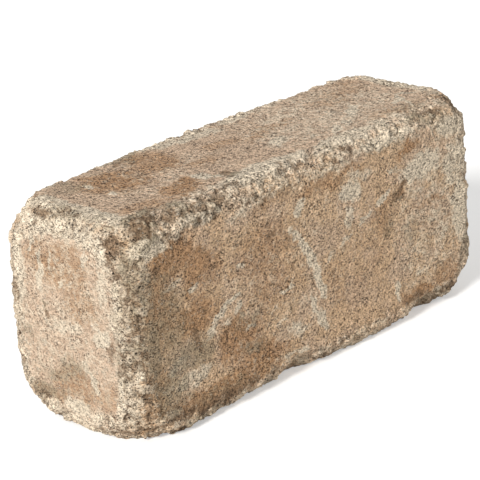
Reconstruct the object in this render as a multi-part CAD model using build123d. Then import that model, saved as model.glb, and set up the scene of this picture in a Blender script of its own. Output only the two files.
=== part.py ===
from build123d import *
import os

# A tumbled concrete plank paver, standing on its narrow side as it is shown.
#
# One pressed concrete block. It leaves the mould as a sharp-edged prism and then goes
# through a drum with other blocks, which wears every arris to an uneven round, knocks the
# corners down to domes and spalls shallow scoops out of the arrises. The steps below
# follow that order. An arris is the edge where two faces meet.
#
# Millimetres. X runs along the block from the near to the far end, Y through its
# thickness from front to back, Z up. The origin is the middle of the face it stands on.

# The block as it left the mould
length = 230.0
thickness = 80.0
height = 100.0

# Radius that the drum wore on each arris, at even stations along it. The key names the two
# faces that meet there. How far each worn surface runs out past the flat face beside it
# gives the band its visible border.
run_out = 0.6
long_arris_wear = {
    ("front", "foot"): (12.5, 11.0, 14.5, 11.5, 12.0, 13.0),
    ("front", "top"): (12.0, 11.5, 12.5, 12.5, 10.5, 13.0),
    ("back", "top"): (13.0, 14.5, 12.0, 13.0, 15.0, 16.0),
    ("back", "foot"): (12.0, 13.0, 12.5, 13.5, 11.5, 12.0),
}
upright_arris_wear = {
    ("near", "front"): (13.0, 12.5, 12.0, 14.0),
    ("far", "front"): (15.0, 13.0, 14.5, 16.0),
    ("far", "back"): (12.0, 13.5, 12.5, 12.0),
    ("near", "back"): (19.0, 12.0, 13.5, 16.0),
}
cross_arris_wear = {
    ("near", "foot"): (12.0, 12.0, 16.0),
    ("far", "foot"): (13.0, 14.0, 12.0),
    ("far", "top"): (13.0, 9.5, 12.0),
    ("near", "top"): (14.0, 12.0, 14.0),
}

# Corners knocked down to domes: the dome's radius, then for each corner how deep the dome
# lies below the sharp corner, and how much it leans over X, Y and Z
dome = 44.0
corner_domes = {
    ("near", "front", "foot"): (13.6, (1.0, 1.0, 1.0)),
    ("near", "front", "top"): (11.5, (1.0, 0.9, 1.0)),
    ("near", "back", "foot"): (14.0, (1.0, 1.0, 1.0)),
    ("near", "back", "top"): (13.6, (0.95, 1.0, 1.1)),
    ("far", "front", "foot"): (14.5, (1.0, 0.9, 1.1)),
    ("far", "front", "top"): (11.5, (1.0, 1.0, 1.0)),
    ("far", "back", "foot"): (11.5, (1.1, 1.0, 1.0)),
    ("far", "back", "top"): (10.0, (1.1, 0.9, 1.0)),
}

# Scoops spalled out of the long arrises: the end that each is measured from, the distance
# from that end, the scoop's radius and how deep it bites below the sharp arris
long_arris_scoops = {
    ("front", "top"): [("near", 28.0, 40.0, 6.0)],
    ("back", "top"): [("near", 38.0, 40.0, 7.2)],
    ("front", "foot"): [("near", 101.0, 22.0, 9.4), ("far", 38.0, 24.0, 9.0)],
    ("back", "foot"): [("far", 70.0, 46.0, 6.4)],
}

# Which way each named side lies from the middle of the block
side = {"near": -1, "far": 1, "front": -1, "back": 1, "foot": -1, "top": 1}

# The middle of the block, and its moulded faces' distances from there
middle = Vector(0, 0, height / 2)
half = Vector(length / 2, thickness / 2, height / 2)

# The three directions
along = Vector(1, 0, 0)
through = Vector(0, 1, 0)
upward = Vector(0, 0, 1)

def moulded_block():
    """The sharp-edged prism."""
    return Box(length, thickness, height, align=(Align.CENTER, Align.CENTER, Align.MIN))

def worn_outline(width, rise, radii):
    """A rectangle about the origin whose four corners have their own radii."""
    turns = [((-1, -1), 180), ((1, -1), 270), ((1, 1), 0), ((-1, 1), 90)]
    arcs = []
    for (across, up), start in turns:
        radius = radii[across, up]
        centre = (across * (width / 2 - radius), up * (rise / 2 - radius))
        arcs.append(CenterArc(centre, radius, start, 90))
    flats = [Line(arcs[i - 1] @ 1, arcs[i] @ 0) for i in range(4)]
    return make_face(arcs + flats)

def worn_bar(axis, span, across, width, up, rise, wear):
    """A bar through the block along one axis, its four arrises worn as the stations say."""
    stations = len(next(iter(wear.values())))
    sections = []
    for station in range(stations):
        offset = (span + 2 * run_out) * (station / (stations - 1) - 0.5)
        radii = {(side[u], side[v]): row[station] for (u, v), row in wear.items()}
        outline = worn_outline(width + 2 * run_out, rise + 2 * run_out, radii)
        sections.append(Plane(middle + axis * offset, x_dir=across, z_dir=across.cross(up)) * outline)
    return loft(sections)

def corner_waste(corner, depth, lean):
    """What the dome leaves off at one corner.

    The waste is the octant between the sharp corner and the dome's centre, less the ball.
    """
    inward = Vector(*(-side[name] for name in corner))
    sharp = middle - Vector(*(s * h for s, h in zip(inward, half)))
    reach = Vector(*lean).normalized() * (dome + depth)
    centre = sharp + Vector(*(s * r for s, r in zip(inward, reach)))
    octant = Pos((sharp + centre) * 0.5) * Box(*reach)
    return octant - Pos(centre) * Sphere(dome)

def scoop(on_arris, outward, radius, bite):
    """A ball that bites into the block at a point of the sharp arris."""
    return Pos(on_arris + outward.normalized() * (radius - bite)) * Sphere(radius)

def spalls():
    """Every scoop that the drum spalled out of the arrises."""
    for (y_side, z_side), row in long_arris_scoops.items():
        outward = Vector(0, side[y_side], side[z_side])
        for end, distance, radius, bite in row:
            x = side[end] * (half.X - distance)
            on_arris = middle + Vector(x, outward.Y * half.Y, outward.Z * half.Z)
            yield scoop(on_arris, outward, radius, bite)

def tumbled_paver():
    """The block as it comes out of the drum."""
    block = moulded_block()
    block &= worn_bar(along, length, through, thickness, upward, height, long_arris_wear)
    block &= worn_bar(upward, height, along, length, through, thickness, upright_arris_wear)
    block &= worn_bar(through, thickness, along, length, upward, height, cross_arris_wear)
    for corner, (depth, lean) in corner_domes.items():
        block -= corner_waste(corner, depth, lean)
    for waste in spalls():
        block -= waste
    return block

os.makedirs("parts", exist_ok=True)
export_step(tumbled_paver(), "parts/paver.step")
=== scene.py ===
from math import cos, radians, sin

import bmesh
import bpy
from mathutils import Matrix, Vector


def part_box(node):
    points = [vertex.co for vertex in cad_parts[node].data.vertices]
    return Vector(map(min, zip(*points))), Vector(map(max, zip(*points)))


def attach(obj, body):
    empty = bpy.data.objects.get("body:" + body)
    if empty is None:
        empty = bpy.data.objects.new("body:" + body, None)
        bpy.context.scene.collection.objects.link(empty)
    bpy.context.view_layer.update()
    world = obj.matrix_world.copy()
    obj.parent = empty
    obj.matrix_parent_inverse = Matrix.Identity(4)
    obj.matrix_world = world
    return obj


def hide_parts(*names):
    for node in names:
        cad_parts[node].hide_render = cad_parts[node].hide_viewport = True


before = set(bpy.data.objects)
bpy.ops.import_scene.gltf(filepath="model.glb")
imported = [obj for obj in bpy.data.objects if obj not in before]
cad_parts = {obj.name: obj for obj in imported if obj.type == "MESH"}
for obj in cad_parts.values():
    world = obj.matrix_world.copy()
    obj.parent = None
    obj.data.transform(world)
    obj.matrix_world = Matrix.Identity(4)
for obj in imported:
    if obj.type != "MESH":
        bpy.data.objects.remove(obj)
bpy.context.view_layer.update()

# The block
# One tumbled block of pressed concrete: sand, cement and small stone, coloured right
# through. The mould left its faces flat, and the drum broke its arrises to a crumbly
# band. It is the solid's own form, meshed finely and roughened by Geometry Nodes.

lowest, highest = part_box("paver")
block_middle = (lowest + highest) / 2
block_half = (highest - lowest) / 2
millimetre = 0.001
mesh_step = 0.76 * millimetre
kept_share = 0.56


class Wire:
    """A value on its way through a node tree. Python's operators add the nodes."""

    def __init__(self, tree, socket):
        self.tree = tree
        self.socket = socket

    @classmethod
    def made(cls, tree, kind, settings, values, output=0):
        """Any node: its settings are set first, then the values or links of its sockets."""
        node = tree.nodes.new(kind)
        for name, setting in settings.items():
            setattr(node, name, setting)
        for name, value in values.items():
            if isinstance(value, cls):
                tree.links.new(value.socket, node.inputs[name])
            else:
                node.inputs[name].default_value = value
        return cls(tree, node.outputs[output])

    def maths(self, operation, *terms):
        values = {place: term for place, term in enumerate(terms)}
        return Wire.made(self.tree, "ShaderNodeMath", {"operation": operation}, values)

    def __add__(self, other):
        return self.maths("ADD", self, other)

    def __radd__(self, other):
        return self.maths("ADD", other, self)

    def __sub__(self, other):
        return self.maths("SUBTRACT", self, other)

    def __rsub__(self, other):
        return self.maths("SUBTRACT", other, self)

    def __mul__(self, other):
        return self.maths("MULTIPLY", self, other)

    def __rmul__(self, other):
        return self.maths("MULTIPLY", other, self)

    def __rtruediv__(self, other):
        return self.maths("DIVIDE", other, self)

    def above(self, level):
        return self.maths("GREATER_THAN", self, level)

    def below(self, level):
        return self.maths("LESS_THAN", self, level)

    def least(self, other):
        return self.maths("MINIMUM", self, other)

    def most(self, other):
        return self.maths("MAXIMUM", self, other)

    def size(self):
        return self.maths("ABSOLUTE", self)

    def between(self, low, high):
        """0 at low, 1 at high and an eased rise between them."""
        eased = {"interpolation_type": "SMOOTHSTEP"}
        ends = {"Value": self, "From Min": low, "From Max": high}
        return Wire.made(self.tree, "ShaderNodeMapRange", eased, ends)


def noise(place, size, detail, roughness, output=0):
    """Noise whose lumps are about size millimetres across, from 0 to 1."""
    values = {"Vector": place, "Scale": 1 / size, "Detail": detail, "Roughness": roughness}
    return Wire.made(place.tree, "ShaderNodeTexNoise", {}, values, output)


def cells(place, size):
    """Grains packed together, about size millimetres across.

    It gives each grain's own random numbers as a colour, and the distance from its middle.
    """
    values = {"Vector": place, "Scale": 1 / size}
    own = Wire.made(place.tree, "ShaderNodeTexVoronoi", {"feature": "F1"}, values, "Color")
    return own, Wire(place.tree, own.socket.node.outputs["Distance"])


def vector(tree, operation, *terms):
    values = {place: term for place, term in enumerate(terms)}
    return Wire.made(tree, "ShaderNodeVectorMath", {"operation": operation}, values)


def scaled(place, times):
    values = {0: place, "Scale": times}
    return Wire.made(place.tree, "ShaderNodeVectorMath", {"operation": "SCALE"}, values)


def part_of(place, axis):
    return Wire.made(place.tree, "ShaderNodeSeparateXYZ", {}, {0: place}, axis)


def in_millimetres(place):
    return scaled(place, 1 / millimetre)


def wander(place, size, detail, roughness=0.6):
    """A shift that changes over lumps of that size, up to about half a unit each way."""
    lumps = noise(place, size, detail, roughness, "Color")
    return vector(place.tree, "SUBTRACT", lumps, (0.5, 0.5, 0.5))


# The relief's own sizes, in millimetres. Pattern is the seed: where in the noise it lies.
relief = bpy.data.node_groups.new("tumbled relief", "GeometryNodeTree")
relief.interface.new_socket("Geometry", in_out="INPUT", socket_type="NodeSocketGeometry")
relief_sizes = {
    "Crumb depth": 0.8,
    "Crumb size": 2.4,
    "Face depth": 0.2,
    "Band width": 11.0,
    "Pattern": 7.0,
}
for name, value in relief_sizes.items():
    socket = relief.interface.new_socket(name, in_out="INPUT", socket_type="NodeSocketFloat")
    socket.default_value = value
relief.interface.new_socket("Finish", in_out="INPUT", socket_type="NodeSocketMaterial")
relief.interface.new_socket("Geometry", in_out="OUTPUT", socket_type="NodeSocketGeometry")
given = relief.nodes.new("NodeGroupInput")
sizes_given = [Wire(relief, given.outputs[name]) for name in relief_sizes]
crumb_depth, crumb_size, face_depth, band_width, pattern = sizes_given
plain, finish = [Wire(relief, given.outputs[name]) for name in ("Geometry", "Finish")]

# How deep a point lies below each pair of flat faces. The middle one of the three numbers
# is its distance from the nearest arris.
at = Wire.made(relief, "GeometryNodeInputPosition", {}, {})
outward = Wire.made(relief, "GeometryNodeInputNormal", {}, {})
from_middle = vector(relief, "SUBTRACT", at, tuple(block_middle))
to_faces = vector(relief, "SUBTRACT", tuple(block_half), vector(relief, "ABSOLUTE", from_middle))
depth = in_millimetres(to_faces)
depth_x, depth_y, depth_z = [part_of(depth, axis) for axis in "XYZ"]
from_arris = depth_x.least(depth_y).most(depth_x.most(depth_y).least(depth_z))

# Where the pattern is read, in millimetres, and the same place strayed for torn borders
seed_values = {0: pattern, 1: pattern * 3.1, 2: pattern * 5.7}
seed_shift = Wire.made(relief, "ShaderNodeCombineXYZ", {}, seed_values)
grain_at = vector(relief, "ADD", in_millimetres(at), seed_shift)
stray_at = vector(relief, "ADD", grain_at, scaled(wander(grain_at, 5.0, 2.0), 2.4))
crumb_at = scaled(stray_at, 1 / crumb_size)

# The broken band along the arrises, wider at the corners, with a ragged border
ragged_border = (noise(grain_at, 12.0, 4.0, 0.6) - 0.5) * 16.0
corner = 1 - (depth_x + depth_y + depth_z).between(12.0, 50.0)
from_arris = from_arris - corner * 9.0 + ragged_border
arris = 1 - from_arris.between(band_width - 4.0, band_width + 3.0)

# The crumbs there: broad hollows, clumps, single grains with domed backs, and clefts
hollows = (noise(grain_at, 11.0, 3.0, 0.6) - 0.5) * 3.4
clump_own, clump_edge = cells(scaled(crumb_at, 0.5), 1.0)
clump = part_of(clump_own, "X")
crumb_own, crumb_edge = cells(crumb_at, 1.0)
broken = part_of(crumb_own, "X") - 0.5
domes = 0.45 - crumb_edge
cleft = 1 - (noise(stray_at, 7.0, 2.0, 0.5) - 0.5).size().between(0.0, 0.07)
cleft = cleft * noise(grain_at, 16.0, 2.0, 0.5).between(0.42, 0.58)
crumbs = hollows * 0.8 + (clump - 0.5) * 1.3 - clump_edge * 0.7
crumbs = crumbs + broken * 1.1 + domes * 0.9 - cleft + 0.3

# The flat faces: a long swell, sand that stands out, and a few gouges
swell = noise(grain_at, 42.0, 1.0, 0.5) - 0.5
sand = noise(grain_at, 2.6, 3.0, 0.7) - 0.5
gouge = (noise(grain_at, 8.0, 2.0, 0.5) - 0.62).most(0.0)
on_face = sand * 2.4 - gouge * 6.0 + swell * 1.6 - 1.0

# The surface moves along its normal and stays in the block's box. The masks that the paint
# reads are stored on its points.
height = arris * crumbs * crumb_depth + (1 - arris) * on_face * face_depth
worn_at = vector(relief, "ADD", at, scaled(outward, height * millimetre))
worn_at = vector(relief, "MINIMUM", worn_at, tuple(highest))
worn_at = vector(relief, "MAXIMUM", worn_at, tuple(lowest))
moved = {"Geometry": plain, "Position": worn_at}
worn = Wire.made(relief, "GeometryNodeSetPosition", {}, moved)
on_points = {"data_type": "FLOAT", "domain": "POINT"}
for name, mask in (("arris", arris), ("crumbs", crumbs), ("cleft", cleft), ("clump", clump)):
    kept = {"Geometry": worn, "Name": name, "Value": mask}
    worn = Wire.made(relief, "GeometryNodeStoreNamedAttribute", on_points, kept)
worn = Wire.made(relief, "GeometryNodeRealizeInstances", {}, {"Geometry": worn})
finished = {"Geometry": worn, "Material": finish}
worn = Wire.made(relief, "GeometryNodeSetMaterial", {}, finished)
handed_on = relief.nodes.new("NodeGroupOutput")
relief.links.new(worn.socket, handed_on.inputs["Geometry"])

# The concrete
# Sandy tan concrete with browner and greyer blotches, pale lime bloom rubbed on by the
# other blocks, dark pinholes and loose grains. Marks are placed on the front, top and end
# one by one, and the face opposite each of them has the same marks turned over.

concrete = bpy.data.materials.new("tumbled concrete")
concrete.use_nodes = True
paint = concrete.node_tree
paint.nodes.clear()

# Marks on the front: place along X and Z, half length, half width, turn in degrees, strength
front_lime = [
    (23, 77, 11, 7, -10, 1.0),
    (30, 83, 18, 4, -8, 0.5),
    (74, 75, 22, 9, 6, 1.0),
    (98, 70, 14, 18, 0, 0.7),
    (101, 48, 9, 26, 0, 0.8),
    (86, 38, 16, 12, 0, 0.4),
    (-56, 51, 9, 2.6, 10, 1.0),
    (-64, 47, 8, 2.8, 26, 1.0),
    (-69, 41, 7, 2.6, 36, 0.8),
    (-52, 47, 6, 2.2, 40, 0.7),
    (-60, 42, 5, 2.0, 10, 0.6),
    (-14, 68, 8, 3.2, -50, 0.8),
    (-9, 61, 10, 3.4, -55, 0.9),
    (-4, 52, 11, 3.6, -66, 1.0),
    (-1, 44, 11, 3.6, -74, 1.0),
    (2, 37, 8, 3.4, -70, 0.9),
    (-4, 31, 8, 3.2, -70, 0.8),
    (1, 22, 9, 3.6, -58, 1.0),
    (-16, 24, 8, 3.0, -50, 0.8),
    (-16, 24, 10, 7, -10, 0.5),
    (-22, 44, 9, 1.6, 8, 0.7),
    (-29, 38, 7, 1.4, 5, 0.5),
    (-25, 31, 6, 1.4, 15, 0.6),
    (-46, 35, 7, 1.6, 15, 0.6),
    (8, 50, 9, 2.2, 30, 0.6),
    (20, 56, 9, 2.2, 28, 0.6),
    (32, 61, 9, 2.2, 24, 0.7),
    (46, 67, 9, 2.4, 30, 0.9),
    (55, 78, 10, 2.0, -14, 0.6),
    (22, 65, 5, 9, 0, 0.6),
    (54, 19, 3, 7, 5, 1.0),
    (62, 30, 8, 8, 0, 0.4),
    (70, 23, 5, 4, 0, 0.6),
    (-82, 24, 22, 6, 5, 0.6),
    (-90, 33, 10, 4, 20, 0.6),
    (-90, 69, 9, 1.8, 5, 0.6),
    (-78, 64, 4, 3, 0, 0.7),
    (-50, 64, 4, 3, 0, 0.7),
    (-100, 88, 12, 6, 0, 0.7),
    (-70, 93, 16, 5, 0, 0.5),
    (-11, 79, 6, 4, 50, 0.9),
    (-50, 86, 12, 5, 0, 0.4),
    (-17, 13, 16, 1.8, -4, 0.6),
    (95, 88, 18, 8, 0, 0.6),
    (50, 94, 30, 4, 0, 0.5),
    (80, 50, 44, 60, 0, 0.38),
    (-20, 50, 70, 60, 0, 0.22),
]
# Along the foot and the near upright arris the brown, dirt and scar rows below are partly painted
# shade, where the block turns away from the light, as well as stain.
front_brown = [
    (64, 86, 16, 5, 0, 0.8),
    (10, 87, 34, 6, 0, 0.6),
    (-30, 88, 22, 6, 0, 0.5),
    (-90, 80, 20, 12, 0, 1.0),
    (-102, 60, 18, 28, 0, 1.0),
    (-106, 28, 12, 22, 0, 0.8),
    (-74, 70, 18, 14, 0, 0.8),
    (-80, 52, 20, 12, 0, 0.8),
    (-64, 12, 60, 9, 0, 1.0),
    (-100, 12, 30, 9, 0, 0.8),
    (-38, 18, 26, 12, 0, 0.9),
    (-52, 32, 22, 14, 0, 0.9),
    (-32, 68, 34, 20, 0, 0.55),
    (-30, 48, 26, 16, 0, 0.5),
    (22, 40, 30, 26, 0, 0.30),
    (57, 68, 9, 5, 40, 1.0),
    (46, 58, 12, 16, 0, 0.5),
    (80, 57, 18, 5, 0, 0.6),
    (74, 12, 24, 6, 0, 0.9),
    (92, 16, 16, 8, 0, 0.6),
    (84, 44, 14, 10, 0, 0.4),
]
front_dirt_and_shade = [
    (56, 66, 8, 2.4, 42, 1.0),
    (50, 52, 6, 10, 0, 0.5),
    (-84, 34, 24, 14, 0, 0.8),
    (-106, 44, 12, 22, 0, 0.9),
    (-98, 70, 12, 10, 0, 0.6),
    (-104, 90, 14, 6, 0, 0.8),
    (-48, 38, 14, 7, 0, 0.45),
    (-40, 24, 14, 6, 0, 0.6),
    (-64, 11, 50, 7, 0, 0.5),
    (66, 44, 12, 14, 0, 0.5),
    (90, 10, 16, 4, 0, 0.8),
    (-62, 94, 20, 4, 0, 0.5),
    (108, 26, 8, 20, 0, 0.5),
    (-107, 50, 10, 60, 0, 0.64),
    (-94, 50, 20, 44, 0, 0.62),
    (-96, 22, 20, 20, 0, 0.72),
]
front_scars_and_shade = [
    (57, 67, 10, 3.0, 42, 1.0),
    (48, 54, 2.4, 12, -6, 0.4),
    (-78, 40, 3, 12, 20, 0.7),
    (-30, 72, 5, 2.0, 10, 0.7),
    (66, 12, 14, 3.0, 4, 0.8),
    (92, 8, 12, 3.0, 0, 0.9),
    (-70, 9, 46, 3.6, 0, 0.75),
    (-106, 96, 12, 5, 0, 0.9),
    (-84, 97, 10, 3, 0, 0.8),
    (-110, 60, 2.6, 24, 0, 0.6),
    (-108, 28, 3, 16, 0, 0.6),
    (-99, 78, 5, 3, 20, 0.7),
]

# Marks on the top: place along X and Y, then as above
top_lime = [
    (47, -19, 5, 4, 75, 1.0),
    (36, -22, 10, 4, 30, 0.8),
    (62, -9, 14, 5, 35, 0.9),
    (90, -14, 9, 2.0, 60, 0.9),
    (84, -18, 6, 2.4, 20, 0.9),
    (97, -12, 7, 2.0, -40, 0.9),
    (86, -22, 8, 2.0, 80, 0.8),
    (-47, -16, 5, 9, 20, 0.9),
    (-41, -22, 5, 3, 0, 0.9),
    (-84, -1, 3, 4, 0, 0.9),
    (-84, 14, 2.4, 5, 0, 0.7),
    (-24, -31, 36, 9, 0, 0.8),
    (30, -32, 30, 7, 0, 0.6),
    (-12, 28, 34, 10, -10, 0.7),
    (20, 28, 16, 6, 0, 0.6),
    (8, -12, 14, 8, 30, 0.7),
    (-106, 0, 7, 44, 0, 0.7),
    (108, 4, 8, 30, 0, 0.5),
    (54, 16, 10, 3, 60, 0.5),
    (50, 0, 80, 50, 0, 0.42),
    (-60, 0, 60, 50, 0, 0.26),
]
top_brown = [
    (-74, 10, 26, 22, 0, 0.85),
    (-64, -20, 20, 12, 0, 1.0),
    (-88, -24, 20, 14, 0, 0.6),
    (-46, 18, 16, 26, -20, 0.8),
    (-30, -4, 16, 10, 0, 0.5),
    (18, 4, 34, 9, 5, 0.6),
    (-10, 8, 16, 8, 0, 0.5),
    (76, 12, 30, 16, 0, 0.5),
    (96, 22, 18, 12, 0, 0.4),
    (72, -28, 26, 8, 0, 0.5),
    (104, -32, 10, 8, 0, 0.9),
]
top_dirt = [
    (-100, -34, 16, 8, 6, 1.0),
    (-78, -34, 12, 6, 10, 0.8),
    (-38, -22, 6, 4, 30, 1.0),
    (-72, -38, 8, 4, 0, 0.7),
    (-92, 20, 14, 14, 0, 0.6),
    (-50, 30, 18, 10, 0, 0.7),
    (84, -36, 20, 6, 0, 0.8),
    (106, -34, 8, 6, 0, 0.9),
    (84, -26, 14, 5, 0, 0.5),
    (-20, 0, 10, 5, 20, 0.4),
    (-110, 0, 5, 40, 0, 0.6),
    (18, -38, 10, 3, 0, 0.6),
]
top_scars = [
    (-38, -22, 5, 3.0, 20, 1.0),
    (-100, -34, 14, 4.0, 6, 1.0),
    (-71, -38, 7, 3.0, 0, 0.9),
    (-60, 6, 4, 3.0, 0, 0.5),
    (-8, -37, 10, 2.4, 0, 0.7),
    (104, -33, 9, 3.4, 20, 1.0),
    (86, -37, 10, 2.4, 0, 0.7),
    (24, -38, 6, 2.4, 0, 0.7),
    (-56, 26, 10, 3.0, 20, 0.6),
]

# Marks on the end: place along Y and Z, then as above
end_lime = [
    (15, 72, 15, 2.4, 100, 1.0),
    (19, 83, 7, 2.2, 100, 1.0),
    (8, 78, 8, 1.8, 98, 0.7),
    (3, 68, 2.6, 2.4, 0, 1.0),
    (-14, 82, 6, 2, 100, 0.8),
    (-21, 48, 8, 6, 0, 1.0),
    (2, 49, 22, 7, -6, 0.6),
    (-2, 13, 13, 5, 0, 0.9),
    (-14, 26, 9, 2.6, 60, 1.0),
    (-9, 33, 5, 2.4, 70, 0.8),
    (0, 93, 34, 6, 0, 0.5),
    (28, 66, 6, 30, 0, 0.6),
    (-24, 76, 6, 26, 0, 0.65),
    (-28, 60, 5, 26, 0, 0.45),
    (-32, 26, 6, 22, 0, 0.5),
    (16, 38, 12, 4, 20, 0.5),
    (0, 50, 60, 70, 0, 0.38),
]
end_brown = [
    (0, 74, 24, 17, 0, 0.7),
    (-8, 60, 16, 11, 20, 0.6),
    (16, 78, 12, 12, 0, 0.5),
    (0, 22, 26, 14, 0, 0.7),
    (18, 14, 14, 8, 0, 0.7),
    (-22, 22, 12, 10, 0, 0.5),
    (-34, 84, 5, 10, 0, 0.8),
]
end_dirt = [
    (20, 16, 16, 8, 0, 0.7),
    (4, 26, 26, 10, 0, 0.6),
    (0, 24, 32, 22, 0, 0.32),
    (13, 52, 4, 2.4, 40, 0.8),
    (24, 40, 6, 3, 30, 0.6),
    (-38, 72, 6, 30, 0, 0.9),
    (-26, 95, 5, 4, 0, 1.0),
    (6, 97, 16, 3, 0, 0.6),
    (-34, 50, 8, 60, 0, 0.5),
    (0, 98, 44, 5, 0, 0.6),
]
end_scars = [
    (-30, 92, 8, 5, 20, 0.9),
    (-36, 62, 4, 26, 0, 0.45),
    (-35, 32, 4, 20, 0, 0.4),
    (-30, 84, 4, 10, -20, 0.6),
    (13, 52, 3, 2.0, 40, 0.8),
    (-26, 44, 3, 9, 10, 0.6),
    (14, 97, 12, 2.6, 0, 0.7),
    (-22, 6, 14, 3.0, 0, 0.7),
    (34, 60, 2.6, 16, 0, 0.6),
]

# How far a mark reaches into the block, and the share of it over which its edge fades
mark_depth = 14.0
mark_fade = 0.65
block_size = block_half * 2 / millimetre

here = in_millimetres(Wire.made(paint, "ShaderNodeTexCoord", {}, {}, "Object"))
x_here, y_here, z_here = [part_of(here, axis) for axis in "XYZ"]


def turned_over(test, x_turned, y_turned, z_turned):
    """This place, or where the turn takes it, if the test is 1."""
    places = {0: x_turned, 1: y_turned, 2: z_turned}
    turned = Wire.made(paint, "ShaderNodeCombineXYZ", {}, places)
    either = {0: test, 4: here, 5: turned}
    return Wire.made(paint, "ShaderNodeMix", {"data_type": "VECTOR"}, either, 1)


other_x = 0 - x_here
other_y = 0 - y_here
other_z = block_size.z - z_here
front_place = turned_over(y_here.above(0.0), other_x, other_y, other_z)
end_place = turned_over(x_here.above(0.0), other_x, other_y, z_here)
top_place = turned_over(z_here.below(block_size.z / 2), other_x, y_here, other_z)

# How far the edges of the marks wander, in millimetres
fray = wander(here, 5.0, 3.0)
sway = wander(here, 19.0, 3.0)
slight_waver = scaled(fray, 8.0)
broad_waver = vector(paint, "ADD", scaled(fray, 12.0), scaled(sway, 24.0))


def marked(start, frayed, spots):
    """The strongest of the spots at each place, or what is there already if that is more."""
    for centre, turn, reach, strength in spots:
        values = {"Vector": frayed, "Location": centre, "Rotation": turn, "Scale": reach}
        local = Wire.made(paint, "ShaderNodeMapping", {"vector_type": "TEXTURE"}, values)
        spot = Wire.made(paint, "ShaderNodeTexGradient", {"gradient_type": "SPHERICAL"}, {0: local}, 1)
        start = start.most(spot.between(0.0, mark_fade) * strength)
    return start


# Each mark is an ellipsoid: its centre, its turn, its half sizes and its strength
def on_front(marks):
    for x, z, length, width, turn, strength in marks:
        centre = (x, -block_size.y / 2, z)
        yield centre, (0, radians(-turn), 0), (length, mark_depth, width), strength


def on_top(marks):
    for x, y, length, width, turn, strength in marks:
        centre = (x, y, block_size.z)
        yield centre, (0, 0, radians(turn)), (length, width, mark_depth), strength


def on_end(marks):
    for y, z, length, width, turn, strength in marks:
        centre = (-block_size.x / 2, y, z)
        yield centre, (radians(turn), 0, 0), (mark_depth, length, width), strength


def all_marks(front, top, end, waver):
    """One kind of mark all over the block, its edges wandering by the waver."""
    marks = x_here * 0
    marks = marked(marks, vector(paint, "ADD", front_place, waver), on_front(front))
    marks = marked(marks, vector(paint, "ADD", top_place, waver), on_top(top))
    return marked(marks, vector(paint, "ADD", end_place, waver), on_end(end))


lime_marks = all_marks(front_lime, top_lime, end_lime, slight_waver)
brown_marks = all_marks(front_brown, top_brown, end_brown, broad_waver)
dirt_and_shade_marks = all_marks(front_dirt_and_shade, top_dirt, end_dirt, broad_waver)
scar_and_shade_marks = all_marks(front_scars_and_shade, top_scars, end_scars, slight_waver)


def stored(name):
    """A mask that the relief left on the mesh."""
    return Wire.made(paint, "ShaderNodeAttribute", {"attribute_name": name}, {}, "Fac")


arris_band = stored("arris")
crumb_height = stored("crumbs")
cleft_line = stored("cleft")
clump_tone = stored("clump")

# Slow changes over the faces: blotches, drifts of colour, mottling, smoother and rougher
# zones, and where a place lies on an end, or on the top or the foot
clouds = noise(here, 26.0, 4.0, 0.6)
drift = noise(vector(paint, "ADD", here, (61.0, 17.0, 29.0)), 17.0, 3.0, 0.6)
mottle = noise(here, 6.0, 3.0, 0.65)
smooth_zones = noise(vector(paint, "ADD", here, (11.0, 47.0, 71.0)), 10.0, 3.0, 0.6)
at_end = x_here.size().between(block_size.x / 2 - 4.0, block_size.x / 2 - 1.5)
lying = (z_here - block_size.z / 2).size().between(block_size.z / 2 - 4.0, block_size.z / 2 - 1.0)
calm = 1 - at_end * (1 - arris_band) * 0.4

# Sand, larger grains and pores, with ragged borders and pressed a little flat
sand_size = 0.55
grain_size = 1.2
pore_size = 2.9
raggedness = 0.6
pressed = (1.0, 1.0, 1.35)
ragged = vector(paint, "ADD", here, scaled(wander(here, 1.2, 1.0, 0.5), raggedness))
bedded = vector(paint, "MULTIPLY", ragged, pressed)
grit = noise(bedded, 2.4, 2.0, 0.7)


def grains(size, shift):
    """Two numbers of each grain's own, and the distance from its middle."""
    own, off_middle = cells(vector(paint, "ADD", bedded, shift), size)
    return part_of(own, "X"), part_of(own, "Y"), off_middle


sand_tone, sand_height, from_sand = grains(sand_size, (0.0, 0.0, 0.0))
grain_tone, grain_chance, from_grain = grains(grain_size, (31.0, 57.0, 83.0))
pore_tone, pore_chance, from_pore = grains(pore_size, (97.0, 13.0, 41.0))

# Pinholes, pores and pale flecks: some grains are chosen, more of them where they crowd
crowding = (mottle - 0.5) * 0.8 + (smooth_zones - 0.5) * 1.4
pinholes = (grain_chance + crowding).between(0.83, 0.95)
pinholes = pinholes * (1 - (from_grain - grain_tone * 0.1).between(0.20, 0.40))
pores = (pore_chance + crowding + lying * 0.18).between(0.86, 1.0)
pores = pores * (1 - (from_pore - pore_tone * 0.12).between(0.06, 0.26))
flecks = (grain_chance + crowding * 0.4).between(0.12, 0.07) * (1 - from_grain.between(0.25, 0.5))
dark_spots = pinholes.most(pores)


def mixed(factor, under, over):
    values = {0: factor, 6: under, 7: over}
    return Wire.made(paint, "ShaderNodeMix", {"data_type": "RGBA"}, values, 2)


tan = (0.500, 0.345, 0.215, 1)
brown = (0.315, 0.175, 0.085, 1)
lime = (0.590, 0.505, 0.385, 1)
rose = (0.480, 0.350, 0.250, 1)
stone_grey = (0.235, 0.188, 0.124, 1)
dark_dirt_and_shade = (0.170, 0.106, 0.060, 1)
pale_grain = (0.700, 0.610, 0.490, 1)
pinhole_painted_shade = (0.100, 0.053, 0.027, 1)
cleft_painted_shade = (0.110, 0.066, 0.038, 1)
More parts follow.
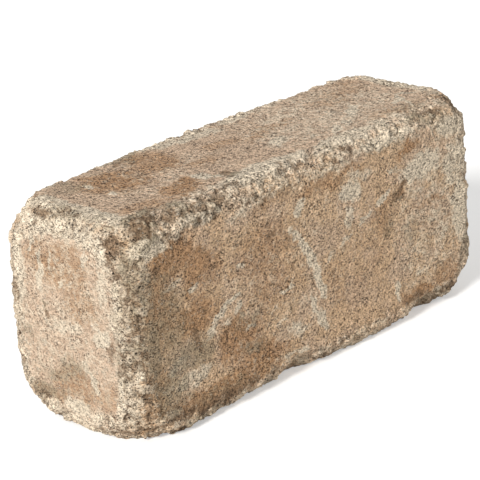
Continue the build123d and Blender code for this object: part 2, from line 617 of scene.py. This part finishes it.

# The body colour, then brown blotches, lime bloom, and dirt and scars over it, the last two partly
# painted shade
rosy = (drift.between(0.42, 0.60) * 0.6).most(at_end * 0.9).most(lying * 0.8)
brown_amount = brown_marks + ((clouds - 0.5) * 0.7 + (mottle - 0.5) * 0.9) * calm
lime_amount = lime_marks + arris_band * 0.42 + (mottle - 0.5) * 1.1 + (grit - 0.5) * 0.9
dirt_and_shade_amount = dirt_and_shade_marks * 0.9 + (mottle - 0.5) * 0.9 + (grit - 0.5) * 0.9
scar_and_shade_amount = scar_and_shade_marks + (grit - 0.5) * 0.9
colour = mixed(rosy, tan, rose)
colour = mixed(brown_amount.between(0.0, 0.9) * 0.85, colour, brown)
colour = mixed(lime_amount.between(0.15, 0.8) * 0.85, colour, lime)
colour = mixed(dirt_and_shade_amount.between(0.1, 0.9) * 0.8, colour, stone_grey)
colour = mixed(scar_and_shade_amount.between(0.15, 0.7) * 0.75, colour, dark_dirt_and_shade)

# On the broken arrises the hollows are painted dark as shade, and lime lies on the crumbs,
# less so towards the far end
torn = arris_band * (1 - x_here.between(0.0, 70.0) * 0.45)
crumb_tops = crumb_height.between(0.1, 0.9) * 0.6 * (1 - dirt_and_shade_marks * 0.6)
colour = mixed((torn * (0 - crumb_height)).between(0.15, 1.3) * 0.62, colour, dark_dirt_and_shade)
colour = mixed(torn * crumb_tops, colour, lime)

# Light and dark from grain to grain, then the single grains and holes that stand out
sand_contrast = 1.35
grain_contrast = 0.45
grit_contrast = 0.4
mottle_contrast = 0.4
clump_contrast = 0.3
in_shade = (1 - sand_tone) * (1 - sand_tone)
tone = (0.33 - in_shade) * sand_contrast + (grain_tone - 0.5) * grain_contrast
tone = (tone + (grit - 0.5) * grit_contrast) * (0.45 + smooth_zones * 1.1)
tone = (tone + (mottle - 0.5) * mottle_contrast) * calm
tone = tone + torn * (clump_tone - 0.5) * clump_contrast
colour = scaled(colour, 1.03 + tone)
colour = mixed(flecks * 0.45, colour, pale_grain)
# Pinholes and pores are painted near black: painted shade in the pits.
colour = mixed(dark_spots * (0.72 - arris_band * 0.25) * calm, colour, pinhole_painted_shade)
# The clefts on the arrises are painted dark: painted shade in the grooves.
colour = mixed(torn * cleft_line.between(0.4, 1.0) * 0.6, colour, cleft_painted_shade)

# The skin's own unevenness, in millimetres
skin_depth = 1.0 * millimetre
sand_skin = (0.6 - from_sand) * (0.4 + sand_height) * 0.35
grain_skin = (0.6 - from_grain) * (0.3 + grain_tone) * (0.45 + arris_band * 0.4)
skin = sand_skin * 0.3 + grain_skin * 0.35 + (grit - 0.5) * 0.8 + (mottle - 0.5) * 1.4
skin = skin - dark_spots * 0.7 + flecks * 0.3
bump_values = {"Strength": 1.0, "Distance": skin_depth, "Height": skin}
bump = Wire.made(paint, "ShaderNodeBump", {}, bump_values)
surface = Wire.made(paint, "ShaderNodeBsdfPrincipled", {}, {
    "Base Color": colour,
    "Roughness": 0.95,
    "Specular IOR Level": 0.25,
    "Normal": bump,
})
shown = paint.nodes.new("ShaderNodeOutputMaterial")
paint.links.new(surface.socket, shown.inputs["Surface"])

# The finished block
# The solid is copied, meshed evenly, roughened by the relief and thinned where it stays
# flat. The rough copy then stands for the plain solid.

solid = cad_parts["paver"]
whole = bmesh.new()
whole.from_mesh(solid.data)
bmesh.ops.remove_doubles(whole, verts=whole.verts, dist=0.01 * millimetre)
form = bpy.data.meshes.new("block form")
whole.to_mesh(form)
whole.free()
rough = bpy.data.objects.new("rough_block", form)
bpy.context.scene.collection.objects.link(rough)
skin_maker = rough.modifiers.new("fine mesh", "REMESH")
skin_maker.mode = "VOXEL"
skin_maker.voxel_size = mesh_step
skin_maker.use_smooth_shade = True
roughener = rough.modifiers.new("tumbled relief", "NODES")
roughener.node_group = relief
for socket in relief.interface.items_tree:
    if socket.in_out == "INPUT" and socket.name in relief_sizes:
        roughener[socket.identifier] = relief_sizes[socket.name]
    if socket.in_out == "INPUT" and socket.name == "Finish":
        roughener[socket.identifier] = concrete
thinner = rough.modifiers.new("fewer faces where it is flat", "DECIMATE")
thinner.ratio = kept_share
evaluated = rough.evaluated_get(bpy.context.evaluated_depsgraph_get())
made_mesh = bpy.data.meshes.new_from_object(evaluated)
bpy.data.objects.remove(rough)
for vertex in made_mesh.vertices:
    limits = zip(vertex.co, lowest, highest)
    vertex.co = [min(max(place, low), high) for place, low, high in limits]
block = bpy.data.objects.new("tumbled_block", made_mesh)
bpy.context.scene.collection.objects.link(block)
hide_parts("paver")
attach(block, "root")

# The floor
# A plain pale floor under the block. Seen straight it is as good as white, and it keeps
# the block's shadow.


def shown_white(tree):
    """1 on a ray that shows the background itself: straight, mirrored or through glass."""
    kinds = ("Is Camera Ray", "Is Glossy Ray", "Is Transmission Ray")
    rays = [Wire.made(tree, "ShaderNodeLightPath", {}, {}, kind) for kind in kinds]
    straight, mirrored, clear = rays
    return straight.most(mirrored).most(clear)


floor_mesh = bpy.data.meshes.new("floor")
floor_half = 6.0
floor_colour = (0.80, 0.79, 0.77, 1)
floor_lift = 0.40
plain_white = (1, 1, 1, 1)
turns = ((-1, -1), (1, -1), (1, 1), (-1, 1))
corners = [(x * floor_half, y * floor_half, 0) for x, y in turns]
floor_mesh.from_pydata(corners, [], [(0, 1, 2, 3)])
floor = bpy.data.objects.new("floor", floor_mesh)
bpy.context.scene.collection.objects.link(floor)
pale = bpy.data.materials.new("pale floor")
pale.use_nodes = True
ground = pale.node_tree
ground.nodes.clear()
matt = Wire.made(ground, "ShaderNodeBsdfDiffuse", {}, {"Color": floor_colour})
glow = {"Color": plain_white, "Strength": floor_lift}
lift = Wire.made(ground, "ShaderNodeEmission", {}, glow)
lifted = Wire.made(ground, "ShaderNodeAddShader", {}, {0: matt, 1: lift})
kinds_of_ray = {0: shown_white(ground), 1: matt, 2: lifted}
either = Wire.made(ground, "ShaderNodeMixShader", {}, kinds_of_ray)
ground_shown = ground.nodes.new("ShaderNodeOutputMaterial")
ground.links.new(either.socket, ground_shown.inputs["Surface"])
floor_mesh.materials.append(pale)

# Light
# A soft studio light from the left of the block's near end, and an even fill from all
# round it. The backdrop itself shows as plain white.

key_strength = 3.3
key_spread = radians(14)
key_from = Vector((-0.86, -0.26, 0.54))
fill_strength = 0.43
backdrop_strength = 1.0

sun = bpy.data.lights.new("soft key", "SUN")
sun.energy = key_strength
sun.angle = key_spread
key = bpy.data.objects.new("soft_key", sun)
key.rotation_mode = "QUATERNION"
key.rotation_quaternion = key_from.to_track_quat("Z", "Y")
bpy.context.scene.collection.objects.link(key)

world = bpy.data.worlds.new("studio")
bpy.context.scene.world = world
world.use_nodes = True
sky = world.node_tree
sky.nodes.clear()
fill_values = {"Color": plain_white, "Strength": fill_strength}
white_values = {"Color": plain_white, "Strength": backdrop_strength}
fill = Wire.made(sky, "ShaderNodeBackground", {}, fill_values)
white = Wire.made(sky, "ShaderNodeBackground", {}, white_values)
by_ray = {0: shown_white(sky), 1: fill, 2: white}
backdrop = Wire.made(sky, "ShaderNodeMixShader", {}, by_ray)
sky_shown = sky.nodes.new("ShaderNodeOutputWorld")
sky.links.new(backdrop.socket, sky_shown.inputs["Surface"])

# Camera
# A long lens, beyond the near end's front corner and a little above it. It is turned a
# few degrees on its own axis.

azimuth = radians(-45.6)
elevation = radians(20.18)
roll = radians(-3.6)
distance = 0.9811
aside = -0.0059
above = 0.0025
focal_length = 161.3
back = Vector((sin(azimuth) * cos(elevation), -cos(azimuth) * cos(elevation), sin(elevation)))
level_right = Vector((cos(azimuth), sin(azimuth), 0))
level_up = back.cross(level_right)
right = cos(roll) * level_right + sin(roll) * level_up
up = -sin(roll) * level_right + cos(roll) * level_up
lens = bpy.data.cameras.new("camera")
lens.lens = focal_length
lens.clip_start = 0.05
lens.clip_end = 50.0
camera = bpy.data.objects.new("camera", lens)
bpy.context.scene.collection.objects.link(camera)
stand = Matrix((right, up, back)).transposed().to_4x4()
stand.translation = block_middle + back * distance + right * aside + up * above
camera.matrix_world = stand
bpy.context.scene.camera = camera
bpy.context.scene.view_settings.view_transform = "Standard"
